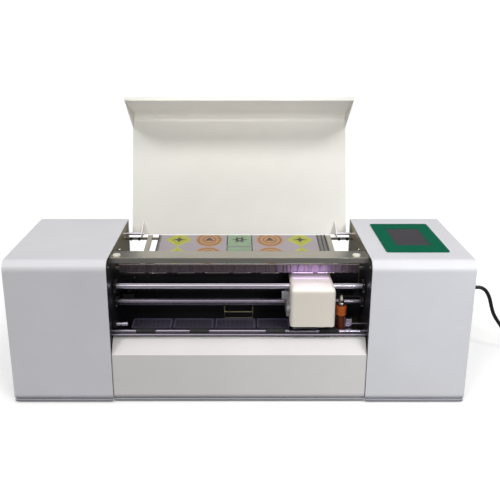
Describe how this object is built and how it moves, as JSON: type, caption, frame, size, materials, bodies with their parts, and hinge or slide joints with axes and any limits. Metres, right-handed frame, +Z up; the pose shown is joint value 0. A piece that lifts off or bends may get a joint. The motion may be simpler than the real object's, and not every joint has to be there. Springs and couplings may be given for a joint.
{
  "type": "desktop uv sheet printer",
  "caption": "Desktop UV printer: two rounded sheet-metal pods around an open bay with a sliding print carriage, platen, feed rollers, sheet tray, hinged lid and touch screen.",
  "frame": {"origin": "on the table under the middle of the machine's box with the lid open, the mains lead left out", "axes": "+X to the machine's right seen from the front, +Y towards its back, +Z up"},
  "size_m": [1.028, 0.354, 0.4856],
  "materials": {
    "pod_paint": "satin powder coat",
    "panel_paint": "satin powder coat",
    "lid_paint": "satin powder coat",
    "brushed_steel": "brushed along the beam",
    "zinc_steel": "dull zinc plate",
    "polished_steel": "ground and polished",
    "black_metal": "matt black",
    "black_plastic": "fine texture",
    "platen_plastic": "fine texture",
    "grey_plastic": "fine texture",
    "rib_plastic": "fine texture",
    "white_plastic": "satin",
    "rubber": "matt",
    "screen_film": "smooth printed film",
    "display_glass": "smooth, dark, unlit",
    "printed_sheet": "coated film with printed shapes",
    "clear_film": "translucent",
    "amber_plastic": "translucent",
    "circuit_board": "solder mask",
    "brass": "machined",
    "cord_pvc": "satin"
  },
  "bodies": {
    "chassis": {"base_plate": "zinc_steel", "left_pod_shell": "pod_paint", "right_pod_shell": "pod_paint", "left_side_cover": "pod_paint", "right_side_cover": "pod_paint", "left_side_frame": "zinc_steel", "right_side_frame": "zinc_steel", "front_cover": "panel_paint", "rear_cover": "panel_paint", "front_top_beam": "brushed_steel", "ribbed_sheet_guide": "rib_plastic", "inner_back_panel": "black_metal", "foot_front_left": "rubber", "foot_front_right": "rubber", "foot_rear_left": "rubber", "foot_rear_right": "rubber", "tray_frame": "brushed_steel", "sheet_tray": "black_plastic", "printed_sheet": "printed_sheet", "upper_guide_rod": "polished_steel", "lower_guide_rod": "polished_steel", "encoder_strip": "clear_film", "platen": "platen_plastic", "front_exit_rod": "polished_steel", "sheet_guide_wire": "polished_steel", "carriage_belt": "rubber", "belt_motor": "black_metal", "idler_bracket": "zinc_steel", "feed_motor": "black_metal", "capping_base": "black_plastic", "waste_pump": "amber_plastic", "hinge_pin_left": "polished_steel", "hinge_pin_right": "polished_steel", "screen_bezel": "screen_film", "screen_display": "display_glass", "main_board": "circuit_board", "power_supply": "zinc_steel", "mains_inlet": "black_plastic", "ink_tank_bank": "white_plastic", "mains_connector": "cord_pvc", "mains_cord_run": "cord_pvc", "mains_cord_coil": "cord_pvc", "mains_plug": "cord_pvc"},
    "lid": {"lid_panel": "lid_paint"},
    "carriage": {"carriage_cover": "white_plastic", "carriage_frame": "grey_plastic", "print_head": "black_plastic", "uv_lamp": "grey_plastic"},
    "drive_pulley": {"belt_drive_pulley": "polished_steel"},
    "idler_pulley": {"belt_idler_pulley": "polished_steel"},
    "feed_rollers": {"feed_shaft": "polished_steel", "feed_roller_1": "rubber", "feed_roller_2": "rubber", "feed_roller_3": "rubber", "feed_roller_4": "rubber", "feed_gear": "white_plastic"},
    "feed_pinion": {"feed_motor_pinion": "brass"},
    "cap_sled": {"capping_sled": "grey_plastic"},
    "release_lever": {"head_release_lever": "polished_steel"},
    "power_rocker": {"power_switch": "black_plastic"}
  },
  "joints": [
    {"name": "lid_hinge", "type": "hinge", "parent": "chassis", "child": "lid", "pos_m": [0, 0.06898, 0.23], "axis": [1, 0, 0], "range_deg": [0, 110]},
    {"name": "carriage_slide", "type": "slide", "parent": "chassis", "child": "carriage", "axis": [1, 0, 0], "range_m": [-0.27, 0]},
    {"name": "drive_pulley_spin", "type": "hinge", "parent": "chassis", "child": "drive_pulley", "pos_m": [0.193, -0.05302, 0.165], "axis": [0, 0, 1], "range_deg": [-1940, 0]},
    {"name": "idler_pulley_spin", "type": "hinge", "parent": "chassis", "child": "idler_pulley", "pos_m": [-0.196, -0.05302, 0.165], "axis": [0, 0, 1], "range_deg": [-1940, 0]},
    {"name": "feed_spin", "type": "hinge", "parent": "chassis", "child": "feed_rollers", "pos_m": [0, -0.12802, 0.1158], "axis": [1, 0, 0], "continuous": true},
    {"name": "feed_pinion_spin", "type": "hinge", "parent": "chassis", "child": "feed_pinion", "pos_m": [0.2236, -0.10162, 0.1158], "axis": [1, 0, 0], "continuous": true},
    {"name": "cap_lift", "type": "slide", "parent": "chassis", "child": "cap_sled", "axis": [0, 0, 1], "range_m": [-0.007, 0]},
    {"name": "release_lever_pivot", "type": "hinge", "parent": "chassis", "child": "release_lever", "pos_m": [0.187, -0.11452, 0.1245], "axis": [1, 0, 0], "range_deg": [0, 25]},
    {"name": "power_rocker_tilt", "type": "hinge", "parent": "chassis", "child": "power_rocker", "pos_m": [0.374, 0.03898, 0.169], "axis": [0, 1, 0], "range_deg": [-12, 0]}
  ],
  "couplings": [
    {"joint": "drive_pulley_spin", "follows": "carriage_slide", "rad_per_m": 125},
    {"joint": "idler_pulley_spin", "follows": "carriage_slide", "rad_per_m": 125},
    {"joint": "feed_pinion_spin", "follows": "feed_spin", "ratio": -3}
  ]
}
